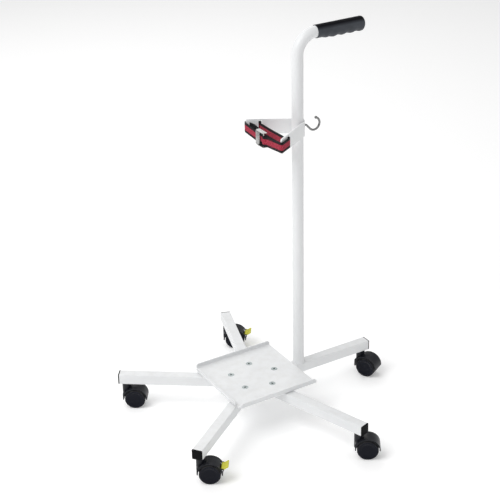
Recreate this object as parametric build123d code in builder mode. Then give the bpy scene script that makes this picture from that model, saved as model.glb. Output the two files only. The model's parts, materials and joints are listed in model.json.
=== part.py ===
from build123d import *
from math import cos, radians, sin
import os

os.makedirs("parts", exist_ok=True)

# Equipment trolley: five castored legs in a star, a sheet tray on the hub, and one bent post
# with a hand grip, a strap bracket and a hook.  Millimetres, +Z up.  While it is modelled, the
# hub axis is X = Y = 0 and the floor is Z = 0; the handle points along +X, over leg 1.

# ---- star base ----
LEG_COUNT = 5
LEG_REACH = 329
LEG_WIDTH = 25
LEG_WALL = 2
LEG_CORNER = 2
CAP_FLANGE = 3
CAP_PLUG = 6
CAP_WALL = 1.6
CAP_CLEARANCE = 0.1
CAP_EDGE = 0.8
HUB_WELD = 4

# ---- M8 fasteners ----
THREAD = 8
THREAD_CLEARANCE = 0.1
NUT_FLATS = 13
NUT_HEIGHT = 6.5
SCREW_LENGTH = 16
SCREW_HEAD = 16
HEAD_CLEARANCE = 0.15
SOCKET_FLATS = 5
SOCKET_DEPTH = 2.5

# ---- tray ----
TRAY_SIDE = 216
TRAY_THICKNESS = 3
TRAY_BEND = 2
TRAY_FLANGE = 13.5
TRAY_CORNER_GAP = 16
FLANGE_CORNER = 6
SCREW_CIRCLE = 113

# ---- post and handle ----
POST_GAP = 5.5
POST_DIAMETER = 27
POST_WALL = 2
HANDLE_HEIGHT = 920
BEND_RADIUS = 47
POST_WELD = 3.5
GRIP_LENGTH = 128
GRIP_WALL = 1.75
GRIP_CLOSED = 7
GRIP_CLEARANCE = 0.1
GRIP_ROUND = 7
GRIP_LIP = 1
FINGER_COUNT = 4
FINGER_PITCH = 24
FINGER_INSET = 11
FINGER_DROP = 3
FINGER_RIDGE = 2.5
FINGER_GROOVE = -0.3
FINGER_START = -2.5

# ---- strap bracket ----
BRACKET_DROP = 199
BRACKET_SHEET = 3
WING_ANGLE = 32
WING_LENGTH = 117
WING_CORNER = 4
SLOT_START = 80
SLOT_WIDTH = 8
SLOT_MARGIN = 1.5
SLOT_EDGE = 3.5
BRACKET_WELD = 2.5

# ---- strap and buckle ----
STRAP_WIDTH = 25
STRAP_THICKNESS = 1.6
STRAP_GAP = 0.4
STRAP_BEND = 2.2
STRAP_DROP = 1
BUCKLE_LENGTH = 32
BUCKLE_CENTRE = 1
BUCKLE_ROOM = 7
BUCKLE_DROP = 3
CHEEK_THICKNESS = 1.5
CHEEK_DEPTH = 10.4
CHEEK_CORNER = 4
PLATE_THICKNESS = 2
PLATE_LENGTH = 16
END_BAR = 3.6
END_BAR_INSET = 4
BUCKLE_PIN = 3
CAM_RADIUS = 3.4
CAM_INSET = 8.5
LEVER_GAP = 0.5
LEVER_LENGTH = 8.5
LEVER_THICKNESS = 2.2
RUNNING_CLEARANCE = 0.05

# ---- hook ----
HOOK_WIRE = 5
HOOK_RADIUS = 14.8
HOOK_REACH = 28
HOOK_DROP = 16
HOOK_RISE = 2
HOOK_ENTRY = 222
HOOK_SWEEP = 208
HOOK_BEND = 8
HOOK_TIP = 7
HOOK_WELD = 2

# ---- castors ----
STEM_INSET = 18
CASTOR_RISE = 15
WHEEL_DIAMETER = 50
WHEEL_WIDTH = 15
TREAD_CORNER = 2
TREAD_BAND = 3.2
RIM_GROOVE = 0.9
RIM_LAND = 2
DISH_RADIUS = 15
DISH_DEPTH = 1.6
RECESS_DEPTH = 6
RECESS_EDGE = 20
WHEEL_HUB = 7
TRAIL = 21
WEB_THICKNESS = 7.4
WHEEL_GAP = 0.5
TREAD_GAP = 2
FENDER_WALL = 2.5
FENDER_SETBACK = 1.5
EAR_DROP = 1
SHOULDER_HEIGHT = 21
SHOULDER_ROUND = 6
BOSS_DIAMETER = 21
BOSS_GAP = 0.3
STEM_FLANGE = 16
STEM_FLANGE_HEIGHT = 2
STEM_PIN = 9
STEM_DEPTH = 12
STEM_END_GAP = 0.5
RING_HEIGHT = 1.2
RING_BITE = 0.6
RING_REACH = 1.2
RING_RISE = 3
RING_SPACE = 0.2
AXLE_DIAMETER = 6
AXLE_COVER = 3.5
AXLE_END_GAP = 0.3
TRAIL_DIRECTION = -34
POST_LEG_TRAIL_DIRECTION = -60
BRAKED_LEGS = (2, 4)

# ---- castor brake ----
BRAKE_ANGLE = 22
BRAKE_STANDOFF = 1.5
BRAKE_WIDTH = 25
BRAKE_LENGTH = 15.5
BRAKE_THICKNESS = 3
BRAKE_TILT = 32
BRAKE_TRAVEL = 25
BRAKE_HUB = 3.2
BRAKE_PIN = 3
BRAKE_TREAD_GAP = 0.4
BRAKE_WINDOW = 9.5
EAR_THICKNESS = 2.5
EAR_GAP = 0.4

# ---- worked out from the dimensions above ----
LEG_STEP = 360 / LEG_COUNT
CASTOR_HEIGHT = WHEEL_DIAMETER + CASTOR_RISE
LEG_TOP = CASTOR_HEIGHT + LEG_WIDTH
LEG_MIDDLE = CASTOR_HEIGHT + LEG_WIDTH / 2
LEG_INSIDE = LEG_WIDTH - 2 * LEG_WALL
TRAY_TOP = LEG_TOP + TRAY_THICKNESS
POST_RADIUS = POST_DIAMETER / 2
POST_OFFSET = TRAY_SIDE / 2 + POST_GAP + POST_RADIUS
GRIP_RADIUS = POST_RADIUS + GRIP_WALL
GRIP_START = POST_OFFSET + BEND_RADIUS
GRIP_END = GRIP_START + GRIP_LENGTH
HANDLE_END = GRIP_END - GRIP_CLOSED
STEM_REACH = LEG_REACH + CAP_FLANGE - STEM_INSET
BOSS_TOP = CASTOR_HEIGHT - STEM_FLANGE_HEIGHT - BOSS_GAP
AXLE_HEIGHT = WHEEL_DIAMETER / 2
FENDER_INNER = WHEEL_DIAMETER / 2 + TREAD_GAP
FENDER_OUTER = FENDER_INNER + FENDER_WALL
BRAKE_PIVOT = FENDER_OUTER + BRAKE_STANDOFF
WHEEL_INSIDE = WEB_THICKNESS / 2 + WHEEL_GAP
WHEEL_OUTSIDE = WHEEL_INSIDE + WHEEL_WIDTH
SLOT_HEIGHT = STRAP_WIDTH + 2 * SLOT_MARGIN
BRACKET_HEIGHT = SLOT_HEIGHT + 2 * SLOT_EDGE
BRACKET_TOP = HANDLE_HEIGHT - BRACKET_DROP
BRACKET_OUTER = POST_RADIUS + BRACKET_SHEET
BRACKET_MIDDLE = BRACKET_TOP - BRACKET_HEIGHT / 2
STRAP_MIDDLE = BRACKET_MIDDLE - STRAP_DROP
BUCKLE_MIDDLE = STRAP_MIDDLE - BUCKLE_DROP
BUCKLE_INSIDE = STRAP_WIDTH + BUCKLE_ROOM
STRAP_CLEAR = STRAP_GAP + STRAP_THICKNESS / 2
POST_AXIS = Axis((POST_OFFSET, 0, 0), (0, 0, 1))

pieces = {}


def finish(shape, name):
    """Label a finished piece and keep it until the whole trolley is centred and written."""
    shape.label = name
    pieces[name] = shape


def placed(shape, *stations):
    """One shape at each station, as a single part or a group of separate solids."""
    with BuildPart() as group:
        with Locations(*stations):
            add(shape)
    return group.part


def on_leg(number, reach, turn=None):
    """The place `reach` out along a leg, facing along it or in the direction `turn`."""
    angle = (number - 1) * LEG_STEP
    facing = angle if turn is None else turn
    return Location((reach * cos(radians(angle)), reach * sin(radians(angle)), 0), (0, 0, facing))


def on_every_leg(reach):
    return [on_leg(number, reach) for number in range(1, LEG_COUNT + 1)]


# ---- star base ----
def make_screw_space(gap):
    """The outline of a countersunk tray screw, `gap` larger all round, on the axis X = Y = 0."""
    head = SCREW_HEAD / 2 + gap
    shank = THREAD / 2 + gap
    end = TRAY_TOP - SCREW_LENGTH
    with BuildPart() as space:
        with BuildSketch(Plane.XZ):
            with BuildLine():
                Polyline(
                    (0, TRAY_TOP),
                    (head, TRAY_TOP),
                    (shank, TRAY_TOP - (head - shank)),
                    (shank, end),
                    (0, end),
                    close=True,
                )
            make_face()
        revolve(axis=Axis.Z)
    return space.part


def make_leg():
    """A square tube along +X, mitred at the hub so that it meets both of its neighbours."""
    half_step = radians(LEG_STEP / 2)
    beyond = 2 * LEG_REACH
    with BuildPart() as leg:
        with BuildSketch(Plane.YZ):
            with Locations((0, LEG_MIDDLE)):
                RectangleRounded(LEG_WIDTH, LEG_WIDTH, LEG_CORNER)
                RectangleRounded(LEG_INSIDE, LEG_INSIDE, LEG_CORNER / 2, mode=Mode.SUBTRACT)
        extrude(amount=LEG_REACH)
        with BuildSketch(Plane.XY):
            with BuildLine():
                Polyline(
                    (0, 0),
                    (beyond * cos(half_step), -beyond * sin(half_step)),
                    (beyond * cos(half_step), beyond * sin(half_step)),
                    close=True,
                )
            make_face()
        extrude(amount=LEG_TOP, mode=Mode.INTERSECT)
        with Locations((SCREW_CIRCLE / 2, 0, 0)):
            add(make_screw_space(HEAD_CLEARANCE), mode=Mode.SUBTRACT)
        with Locations((STEM_REACH, 0, CASTOR_HEIGHT + LEG_WALL / 2)):
            Cylinder(THREAD / 2 + THREAD_CLEARANCE, LEG_WALL, mode=Mode.SUBTRACT)
    return leg.part


def make_end_cap():
    """The plug in the open end of a leg: a bevelled square flange on a hollow square spigot."""
    plug = LEG_INSIDE - 2 * CAP_CLEARANCE
    with BuildPart() as cap:
        with BuildSketch(Plane.YZ.offset(LEG_REACH)):
            with Locations((0, LEG_MIDDLE)):
                RectangleRounded(LEG_WIDTH, LEG_WIDTH, LEG_CORNER)
        extrude(amount=CAP_FLANGE)
        chamfer(cap.faces().sort_by(Axis.X)[-1].edges(), CAP_EDGE)
        with BuildSketch(Plane.YZ.offset(LEG_REACH)):
            with Locations((0, LEG_MIDDLE)):
                Rectangle(plug, plug)
                Rectangle(plug - 2 * CAP_WALL, plug - 2 * CAP_WALL, mode=Mode.SUBTRACT)
        extrude(amount=-CAP_PLUG)
        chamfer(cap.edges().filter_by(Axis.X).group_by(Axis.X)[0], LEG_CORNER / 2)
    return cap.part


def make_weld_nut(bottom):
    """A hexagon nut whose lower face is at height `bottom`."""
    with BuildPart() as nut:
        with BuildSketch(Plane.XY.offset(bottom)):
            RegularPolygon(NUT_FLATS / 2, 6, major_radius=False)
            Circle(THREAD / 2 + THREAD_CLEARANCE, mode=Mode.SUBTRACT)
        extrude(amount=NUT_HEIGHT)
    return nut.part


def make_hub_weld():
    """The weld bead in the corner between two legs, with the corner on the X axis."""
    crotch = LEG_WIDTH / 2 / sin(radians(LEG_STEP / 2))
    reach = HUB_WELD * cos(radians(LEG_STEP / 2))
    rise = HUB_WELD * sin(radians(LEG_STEP / 2))
    hollow = crotch + reach * 2 / 3
    with BuildPart() as bead:
        with BuildSketch(Plane.XY.offset(CASTOR_HEIGHT + LEG_CORNER)):
            with BuildLine():
                Line((crotch, 0), (crotch + reach, -rise))
                ThreePointArc((crotch + reach, -rise), (hollow, 0), (crotch + reach, rise))
                Line((crotch + reach, rise), (crotch, 0))
            make_face()
        extrude(amount=LEG_WIDTH - 2 * LEG_CORNER)
    return bead.part


def build_base():
    leg = make_leg()
    for number in range(1, LEG_COUNT + 1):
        finish(placed(leg, on_leg(number, 0)), f"leg_{number}")
    corners = [Location((0, 0, 0), (0, 0, (step + 0.5) * LEG_STEP)) for step in range(LEG_COUNT)]
    finish(placed(make_hub_weld(), *corners), "hub_welds")
    finish(placed(make_end_cap(), *on_every_leg(0)), "leg_end_caps")
    tray_nut = make_weld_nut(LEG_TOP - LEG_WALL - NUT_HEIGHT)
    finish(placed(tray_nut, *on_every_leg(SCREW_CIRCLE / 2)), "tray_weld_nuts")
    stem_nut = make_weld_nut(CASTOR_HEIGHT + LEG_WALL)
    finish(placed(stem_nut, *on_every_leg(STEM_REACH)), "stem_weld_nuts")


# ---- tray ----
def draw_flange():
    """The section of a turned-up edge: a quarter bend out of the sheet, then an upright."""
    outer = TRAY_BEND + TRAY_THICKNESS
    with BuildSketch() as section:
        with BuildLine():
            Line((0, 0), (0, TRAY_THICKNESS))
            CenterArc((0, outer), TRAY_BEND, 270, 90)
            Polyline((TRAY_BEND, outer), (TRAY_BEND, TRAY_FLANGE), (outer, TRAY_FLANGE), (outer, outer))
            CenterArc((0, outer), outer, 0, -90)
        make_face()
    return section.sketch


def make_tray():
    """A square sheet turned up along three sides; the side towards the post is left open."""
    half = TRAY_SIDE / 2
    flat = half - TRAY_BEND - TRAY_THICKNESS
    back_half = half - TRAY_CORNER_GAP
    side_start = TRAY_CORNER_GAP / 2 - half
    top = LEG_TOP + TRAY_FLANGE
    section = draw_flange()
    with BuildPart() as tray:
        with BuildSketch(Plane.XY.offset(LEG_TOP)):
            with Locations(((half - flat) / 2, 0)):
                Rectangle(half + flat, 2 * flat)
        extrude(amount=TRAY_THICKNESS)
        with BuildSketch(Plane((-flat, -back_half, LEG_TOP), x_dir=(-1, 0, 0), z_dir=(0, 1, 0))):
            add(section)
        extrude(amount=2 * back_half)
        for side in (-1, 1):
            start = side_start if side > 0 else half
            edge = Plane((start, side * flat, LEG_TOP), x_dir=(0, side, 0), z_dir=(side, 0, 0))
            with BuildSketch(edge):
                add(section)
            extrude(amount=half - side_start)
        rims = tray.edges().filter_by_position(Axis.Z, top - TRAY_BEND, top + TRAY_BEND)
        tips = [rim for rim in rims.filter_by(Axis.Z, reverse=True) if rim.length < 2 * TRAY_THICKNESS]
        fillet(tips, FLANGE_CORNER)
        with PolarLocations(SCREW_CIRCLE / 2, LEG_COUNT):
            add(make_screw_space(HEAD_CLEARANCE), mode=Mode.SUBTRACT)
    return tray.part


def make_tray_screw():
    """A countersunk M8 screw with a hexagon socket, its head flush with the tray."""
    with BuildPart() as screw:
        add(make_screw_space(0))
        with BuildSketch(Plane.XY.offset(TRAY_TOP)):
            RegularPolygon(SOCKET_FLATS / 2, 6, major_radius=False)
        extrude(amount=-SOCKET_DEPTH, mode=Mode.SUBTRACT)
    return screw.part


def build_tray():
    finish(make_tray(), "tray")
    finish(placed(make_tray_screw(), *on_every_leg(SCREW_CIRCLE / 2)), "tray_screws")


# ---- post and handle ----
def make_post():
    """One round tube: upright from leg 1, then bent over to run level along +X."""
    with BuildPart() as post:
        with BuildLine(Plane.XZ) as route:
            FilletPolyline(
                (POST_OFFSET, LEG_TOP),
                (POST_OFFSET, HANDLE_HEIGHT),
                (HANDLE_END, HANDLE_HEIGHT),
                radius=BEND_RADIUS,
            )
        with BuildSketch(Plane.XY.offset(LEG_TOP)):
            with Locations((POST_OFFSET, 0)):
                Circle(POST_RADIUS)
                Circle(POST_RADIUS - POST_WALL, mode=Mode.SUBTRACT)
        sweep(path=route.line)
    return post.part


def make_ring_weld(foot, height, from_angle, sweep_angle):
    """A triangular weld bead round the post, standing on or hanging from the height `foot`."""
    start = radians(from_angle)
    plane = Plane(
        (POST_OFFSET, 0, 0),
        x_dir=(cos(start), sin(start), 0),
        z_dir=(sin(start), -cos(start), 0),
    )
    with BuildPart() as bead:
        with BuildSketch(plane):
            with BuildLine():
                Polyline(
                    (POST_RADIUS, foot),
                    (POST_RADIUS + abs(height), foot),
                    (POST_RADIUS, foot + height),
                    close=True,
                )
            make_face()
        revolve(axis=POST_AXIS, revolution_arc=sweep_angle)
    return bead.part


def make_post_weld():
    """The bead round the post's foot, kept to the width of the leg it stands on."""
    with BuildPart() as weld:
        add(make_ring_weld(LEG_TOP, POST_WELD, 0, 360))
        with BuildSketch(Plane.XY.offset(LEG_TOP)):
            with Locations((POST_OFFSET, 0)):
                Rectangle(POST_DIAMETER + 4 * POST_WELD, LEG_WIDTH - 2 * LEG_CORNER)
        extrude(amount=POST_WELD, mode=Mode.INTERSECT)
    return weld.part


def make_grip():
    """A push-on grip: a round sleeve on the handle, with finger ridges along its underside."""
    handle_axis = Axis((0, 0, HANDLE_HEIGHT), (1, 0, 0))
    finger_axis = Axis((0, 0, HANDLE_HEIGHT - FINGER_DROP), (1, 0, 0))
    base = HANDLE_HEIGHT - FINGER_DROP
    skin = base + POST_RADIUS
    wave = [(GRIP_START + GRIP_LIP, skin + FINGER_START)]
    for finger in reversed(range(FINGER_COUNT)):
        ridge = GRIP_END - FINGER_INSET - finger * FINGER_PITCH
        wave.append((ridge - FINGER_PITCH / 2, skin + FINGER_GROOVE))
        wave.append((ridge, skin + FINGER_RIDGE))
    wave.append((GRIP_END - GRIP_LIP, skin + FINGER_START))
    with BuildPart() as grip:
        with BuildSketch(Plane.XZ) as sleeve:
            with Locations(((GRIP_START + GRIP_END) / 2, HANDLE_HEIGHT + GRIP_RADIUS / 2)):
                Rectangle(GRIP_END - GRIP_START, GRIP_RADIUS)
            outer = sleeve.vertices().group_by(Axis.Y)[-1].sort_by(Axis.X)
            fillet(outer[-1], GRIP_ROUND)
            fillet(sleeve.vertices().group_by(Axis.Y)[-1].sort_by(Axis.X)[0], GRIP_LIP)
        revolve(axis=handle_axis)
        with BuildSketch(Plane.XZ):
            with BuildLine():
                Spline(*wave)
                Polyline(wave[-1], (wave[-1][0], base), (wave[0][0], base), wave[0])
            make_face()
        revolve(axis=finger_axis)
        with BuildSketch(Plane.YZ.offset(GRIP_START)):
            with Locations((0, HANDLE_HEIGHT)):
                Circle(POST_RADIUS + GRIP_CLEARANCE)
        extrude(amount=HANDLE_END + GRIP_CLEARANCE - GRIP_START, mode=Mode.SUBTRACT)
    return grip.part


def build_post():
    finish(make_post(), "post")
    finish(make_post_weld(), "post_weld")
    finish(make_grip(), "handle_grip")


# ---- strap bracket ----
def wing_point(along, outward, side):
    """A plan point on a wing: `along` it from the post, and `outward` from its middle plane."""
    lean = radians(WING_ANGLE)
    middle = POST_RADIUS + BRACKET_SHEET / 2 + outward
    x = POST_OFFSET + middle * sin(lean) - along * cos(lean)
    y = middle * cos(lean) + along * sin(lean)
    return (x, side * y)


def make_bracket():
    """A sheet strip wrapped round the back of the post, with a slotted wing to each side."""
    wrap = 90 - WING_ANGLE
    with BuildPart() as bracket:
        with BuildSketch(Plane.XY.offset(BRACKET_TOP - BRACKET_HEIGHT)):
            with BuildLine() as strip:
                for side in (-1, 1):
                    Line(wing_point(WING_LENGTH, 0, side), wing_point(0, 0, side))
                CenterArc((POST_OFFSET, 0), POST_RADIUS + BRACKET_SHEET / 2, -wrap, 2 * wrap)
            trace(strip.line, line_width=BRACKET_SHEET)
        extrude(amount=BRACKET_HEIGHT)
        ends = [edge for edge in bracket.edges() if abs(edge.length - BRACKET_SHEET) < LEG_CORNER / 10]
        fillet(ends, WING_CORNER)
        for side in (-1, 1):
            x, y = wing_point(SLOT_START + SLOT_WIDTH / 2, 0, side)
            with Locations(Location((x, y, BRACKET_MIDDLE), (0, 0, -side * WING_ANGLE))):
                Box(SLOT_WIDTH, 4 * BRACKET_SHEET, SLOT_HEIGHT, mode=Mode.SUBTRACT)
    return bracket.part


def make_bracket_weld():
    """The beads above and below the bracket where it is wrapped round the post."""
    wrap = 90 - WING_ANGLE
    with BuildPart() as weld:
        add(make_ring_weld(BRACKET_TOP, BRACKET_WELD, -wrap, 2 * wrap))
        add(make_ring_weld(BRACKET_TOP - BRACKET_HEIGHT, -BRACKET_WELD, -wrap, 2 * wrap))
    return weld.part


# ---- strap ----
def strap_front():
    """The X of the strap's straight front run, just clear of the wings' ends."""
    return strap_corners()[1][0]


def strap_corners():
    """Plan corners of the strap's loop: out through the left slot, round the wing's end."""
    lean = radians(WING_ANGLE)
    outward = BRACKET_SHEET / 2 + STRAP_CLEAR
    past_end = (STRAP_CLEAR + (BRACKET_SHEET + STRAP_CLEAR) * sin(lean)) / cos(lean)
    slot_x = wing_point(SLOT_START + SLOT_WIDTH / 2, 0, 1)[0]
    along = (wing_point(0, outward, 1)[0] - slot_x) / cos(lean)
    at_slot = wing_point(along, outward, 1)
    at_end = wing_point(WING_LENGTH + past_end, outward, 1)
    return [at_slot, at_end, (at_end[0], -at_end[1]), (at_slot[0], -at_slot[1])]


def make_strap():
    """The webbing as a closed flat loop through both slots and round both wings' ends."""
    with BuildPart() as strap:
        with BuildSketch(Plane.XY.offset(STRAP_MIDDLE - STRAP_WIDTH / 2)):
            with BuildLine() as loop:
                FilletPolyline(*strap_corners(), radius=STRAP_BEND, close=True)
            make_face()
            offset(amount=STRAP_THICKNESS / 2)
            inside = offset(loop.wire(), amount=-STRAP_THICKNESS / 2, mode=Mode.PRIVATE)
            make_face(inside.edges(), mode=Mode.SUBTRACT)
        extrude(amount=STRAP_WIDTH)
    return strap.part


# ---- buckle ----
def buckle_pin_place():
    """Plan centre of the pin, so that the cam stops just short of the strap's face."""
    x = strap_front() - STRAP_CLEAR - CAM_RADIUS
    return (x, BUCKLE_CENTRE + BUCKLE_LENGTH / 2 - CAM_INSET)


def make_buckle_frame():
    """Two cheeks, a plate behind the strap and a bar for its sewn end."""
    back = strap_front() + STRAP_CLEAR + PLATE_THICKNESS
    bottom = BUCKLE_MIDDLE - BUCKLE_INSIDE / 2
    left = BUCKLE_CENTRE + BUCKLE_LENGTH / 2
    right = BUCKLE_CENTRE - BUCKLE_LENGTH / 2
    bar = (strap_front() - STRAP_CLEAR - END_BAR / 2, right + END_BAR_INSET)
    with BuildPart() as frame:
        for level in (bottom - CHEEK_THICKNESS, bottom + BUCKLE_INSIDE):
            with BuildSketch(Plane.XY.offset(level)) as cheek:
                with Locations((back - CHEEK_DEPTH / 2, BUCKLE_CENTRE)):
                    Rectangle(CHEEK_DEPTH, BUCKLE_LENGTH)
                fillet(cheek.vertices().group_by(Axis.X)[0], CHEEK_CORNER)
                with Locations(buckle_pin_place()):
                    Circle(BUCKLE_PIN / 2, mode=Mode.SUBTRACT)
            extrude(amount=CHEEK_THICKNESS)
        with BuildSketch(Plane.XY.offset(bottom)):
            with Locations((back - PLATE_THICKNESS / 2, left - PLATE_LENGTH / 2)):
                Rectangle(PLATE_THICKNESS, PLATE_LENGTH)
            with Locations(bar):
                Circle(END_BAR / 2)
        extrude(amount=BUCKLE_INSIDE)
    return frame.part


def make_buckle_pin():
    """The pin through both cheeks that the cam lever turns on."""
    with BuildPart() as pin:
        with BuildSketch(Plane.XY.offset(BUCKLE_MIDDLE - BUCKLE_INSIDE / 2 - CHEEK_THICKNESS)):
            with Locations(buckle_pin_place()):
                Circle(BUCKLE_PIN / 2)
        extrude(amount=BUCKLE_INSIDE + 2 * CHEEK_THICKNESS)
    return pin.part


def make_buckle_lever():
    """The cam that presses on the strap, with its thumb tab along the strap."""
    x, y = buckle_pin_place()
    tab = LEVER_THICKNESS / 2
    with BuildPart() as lever:
        with BuildSketch(Plane.XY.offset(BUCKLE_MIDDLE - BUCKLE_INSIDE / 2 + LEVER_GAP)) as outline:
            with Locations((x, y)):
                Circle(CAM_RADIUS)
            with Locations((x - CAM_RADIUS + tab, y + LEVER_LENGTH / 2)):
                Rectangle(LEVER_THICKNESS, LEVER_LENGTH)
            fillet(outline.vertices().group_by(Axis.Y)[-1], LEVER_THICKNESS / 2.2)
            with Locations((x, y)):
                Circle(BUCKLE_PIN / 2 + RUNNING_CLEARANCE, mode=Mode.SUBTRACT)
        extrude(amount=BUCKLE_INSIDE - 2 * LEVER_GAP)
    return lever.part


def make_bracket_core():
    """The round body inside the bracket's outer face, to cut back what is joined to it."""
    with BuildPart() as core:
        with BuildSketch(Plane.XY.offset(BRACKET_TOP - BRACKET_HEIGHT)):
            with Locations((POST_OFFSET, 0)):
                Circle(BRACKET_OUTER)
        extrude(amount=BRACKET_HEIGHT)
    return core.part


# ---- hook ----
def make_hook():
    """A bent wire: level out of the bracket, down, then round and up to a ball tip."""
    base = POST_OFFSET + BRACKET_OUTER
    centre = (base + HOOK_REACH, BRACKET_TOP - HOOK_DROP)
    level = centre[1] + HOOK_RISE
    entry = radians(HOOK_ENTRY)
    down = (-sin(entry), cos(entry))
    touch = (centre[0] + HOOK_RADIUS * cos(entry), centre[1] + HOOK_RADIUS * sin(entry))
    corner = (touch[0] - (touch[1] - level) * down[0] / down[1], level)
    with BuildPart() as hook:
        with BuildLine(Plane.XZ) as route:
            FilletPolyline((base - HOOK_WELD, level), corner, touch, radius=HOOK_BEND)
            curl = CenterArc(centre, HOOK_RADIUS, HOOK_ENTRY, HOOK_SWEEP)
        with BuildSketch(Plane.YZ.offset(base - HOOK_WELD)):
            with Locations((0, level)):
                Circle(HOOK_WIRE / 2)
        sweep(path=route.line)
        with Locations(curl @ 1):
            Sphere(HOOK_TIP / 2)
        add(make_bracket_core(), mode=Mode.SUBTRACT)
    return hook.part


def make_hook_weld():
    """The small bead round the wire where it leaves the bracket."""
    base = POST_OFFSET + BRACKET_OUTER
    level = BRACKET_TOP - HOOK_DROP + HOOK_RISE
    wire = HOOK_WIRE / 2
    with BuildPart() as weld:
        with BuildSketch(Plane.XZ):
            with BuildLine():
                Polyline(
                    (base - HOOK_WELD, level + wire),
                    (base - HOOK_WELD, level + wire + HOOK_WELD),
                    (base, level + wire + HOOK_WELD),
                    (base + HOOK_WELD, level + wire),
                    close=True,
                )
            make_face()
        revolve(axis=Axis((0, 0, level), (1, 0, 0)))
        add(make_bracket_core(), mode=Mode.SUBTRACT)
    return weld.part


def build_bracket():
    finish(make_bracket(), "strap_bracket")
    finish(make_bracket_weld(), "bracket_weld")
    finish(make_strap(), "strap")
    finish(make_buckle_frame(), "buckle_frame")
    finish(make_buckle_pin(), "buckle_pin")
    finish(make_buckle_lever(), "buckle_lever")
    finish(make_hook(), "hook")
    finish(make_hook_weld(), "hook_weld")


# ---- castors: the stem is the Z axis, and the axle trails it along +X ----
def make_stem():
    """The fixed stem: thread up into the leg, a flange under it and a pin down into the hood."""
    pin = STEM_PIN / 2
    bottom = BOSS_TOP - STEM_DEPTH + STEM_END_GAP
    groove = BOSS_TOP - STEM_DEPTH + RING_RISE
    with BuildPart() as stem:
        with BuildSketch(Plane.XZ):
            with BuildLine():
                Polyline(
                    (0, bottom),
                    (pin, bottom),
                    (pin, groove),
                    (pin - RING_BITE, groove),
                    (pin - RING_BITE, groove + RING_HEIGHT),
                    (pin, groove + RING_HEIGHT),
                    (pin, CASTOR_HEIGHT - STEM_FLANGE_HEIGHT),
                    (STEM_FLANGE / 2, CASTOR_HEIGHT - STEM_FLANGE_HEIGHT),
                    (STEM_FLANGE / 2, CASTOR_HEIGHT),
                    (THREAD / 2, CASTOR_HEIGHT),
                    (THREAD / 2, CASTOR_HEIGHT + LEG_WALL + NUT_HEIGHT),
                    (0, CASTOR_HEIGHT + LEG_WALL + NUT_HEIGHT),
                    close=True,
                )
            make_face()
        revolve(axis=Axis.Z)
    return stem.part


def make_stem_ring():
    """The snap ring that keeps the hood on its stem."""
    with BuildPart() as ring:
        with BuildSketch(Plane.XY.offset(BOSS_TOP - STEM_DEPTH + RING_RISE)):
            Circle(STEM_PIN / 2 + RING_REACH)
            Circle(STEM_PIN / 2 - RING_BITE, mode=Mode.SUBTRACT)
        extrude(amount=RING_HEIGHT)
    return ring.part


def brake_pivot():
    """Side-view centre of the brake lever's pin."""
    angle = radians(BRAKE_ANGLE)
    return (TRAIL + BRAKE_PIVOT * cos(angle), AXLE_HEIGHT + BRAKE_PIVOT * sin(angle))


def make_hood(braked):
    """The castor's body: a fender over both wheels, a web between them and the stem's boss."""
    front = TRAIL - FENDER_OUTER
    fender_half = WHEEL_OUTSIDE - FENDER_SETBACK
    ear_half = BRAKE_WIDTH / 2 + EAR_GAP
    with BuildPart() as hood:
        with BuildSketch(Plane.XZ) as outline:
            with Locations((TRAIL, AXLE_HEIGHT)):
                Circle(FENDER_OUTER)
            with Locations(((front + TRAIL) / 2, AXLE_HEIGHT + SHOULDER_HEIGHT / 2)):
                Rectangle(FENDER_OUTER, SHOULDER_HEIGHT)
            shoulder = outline.vertices().group_by(Axis.X)[0].sort_by(Axis.Y)[-1]
            fillet(shoulder, SHOULDER_ROUND)
            with Locations((TRAIL, AXLE_HEIGHT - EAR_DROP - FENDER_OUTER)):
                Rectangle(3 * FENDER_OUTER, 2 * FENDER_OUTER, mode=Mode.SUBTRACT)
        extrude(amount=fender_half, both=True)
        with BuildSketch(Plane.XY.offset(AXLE_HEIGHT)):
            Circle(BOSS_DIAMETER / 2)
        extrude(amount=BOSS_TOP - AXLE_HEIGHT)
        for side in (-1, 1):
            with BuildSketch(Plane.XZ.offset(side * WEB_THICKNESS / 2)):
                with Locations((TRAIL, AXLE_HEIGHT)):
                    Circle(FENDER_INNER)
            extrude(amount=side * WHEEL_OUTSIDE, mode=Mode.SUBTRACT)
        with BuildSketch(Plane.XZ):
            with Locations((TRAIL, AXLE_HEIGHT)):
                Circle(WHEEL_HUB)
        extrude(amount=WEB_THICKNESS / 2, both=True)
        if braked:
            with BuildSketch(Plane.XZ):
                with Locations(brake_pivot()):
                    Circle(BRAKE_WINDOW)
            extrude(amount=ear_half, both=True, mode=Mode.SUBTRACT)
            for side in (-1, 1):
                with BuildSketch(Plane.XZ.offset(side * ear_half)):
                    ear_outline()
                extrude(amount=side * EAR_THICKNESS)
            with BuildSketch(Plane.XZ):
                with Locations(brake_pivot()):
                    Circle(BRAKE_PIN / 2)
            extrude(amount=WHEEL_OUTSIDE, both=True, mode=Mode.SUBTRACT)
        with BuildSketch(Plane.XZ):
            with Locations((TRAIL, AXLE_HEIGHT)):
                Circle(AXLE_DIAMETER / 2)
        extrude(amount=WEB_THICKNESS, both=True, mode=Mode.SUBTRACT)
        with BuildSketch(Plane.XY.offset(BOSS_TOP)):
            Circle(STEM_PIN / 2 + RUNNING_CLEARANCE)
        extrude(amount=-STEM_DEPTH, mode=Mode.SUBTRACT)
        with BuildSketch(Plane.XY.offset(BOSS_TOP - STEM_DEPTH + RING_RISE - RING_SPACE)):
            Circle(STEM_PIN / 2 + RING_REACH + RING_SPACE)
        extrude(amount=RING_HEIGHT + 2 * RING_SPACE, mode=Mode.SUBTRACT)
    return hood.part


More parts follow.
